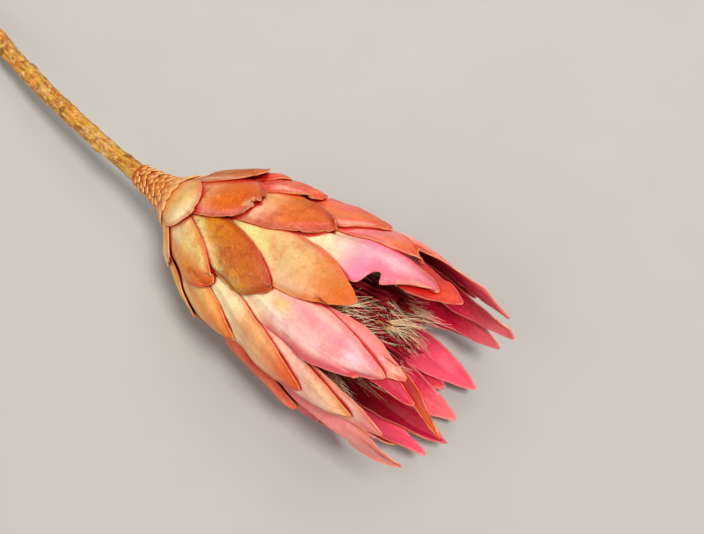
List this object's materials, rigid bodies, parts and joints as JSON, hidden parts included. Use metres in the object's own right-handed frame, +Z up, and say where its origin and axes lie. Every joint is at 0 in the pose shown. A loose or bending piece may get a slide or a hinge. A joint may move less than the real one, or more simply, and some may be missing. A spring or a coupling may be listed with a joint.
{
  "type": "dried sugarbush protea",
  "caption": "Dried protea flower head on its cut woody stem: overlapping bracts in rows, a scaly neck and a brush of florets in the open mouth, lying on its side.",
  "frame": {"origin": "on the surface it lies on, under the middle of its bounding box", "axes": "+X towards the mouth of the flower head, +Z up, +Y to the side that the stem bends to"},
  "size_m": [0.2064, 0.0497, 0.048],
  "materials": {
    "stem": "matte",
    "basal_scales": "matte",
    "outer_bracts": "satin",
    "middle_bracts": "satin",
    "inner_bracts": "satin",
    "florets": "matte"
  },
  "bodies": {
    "root": {"stem": "stem", "basal_scales": "basal_scales", "outer_bracts": "outer_bracts", "middle_bracts": "middle_bracts", "inner_bracts": "inner_bracts", "florets": "florets"}
  },
  "joints": []
}
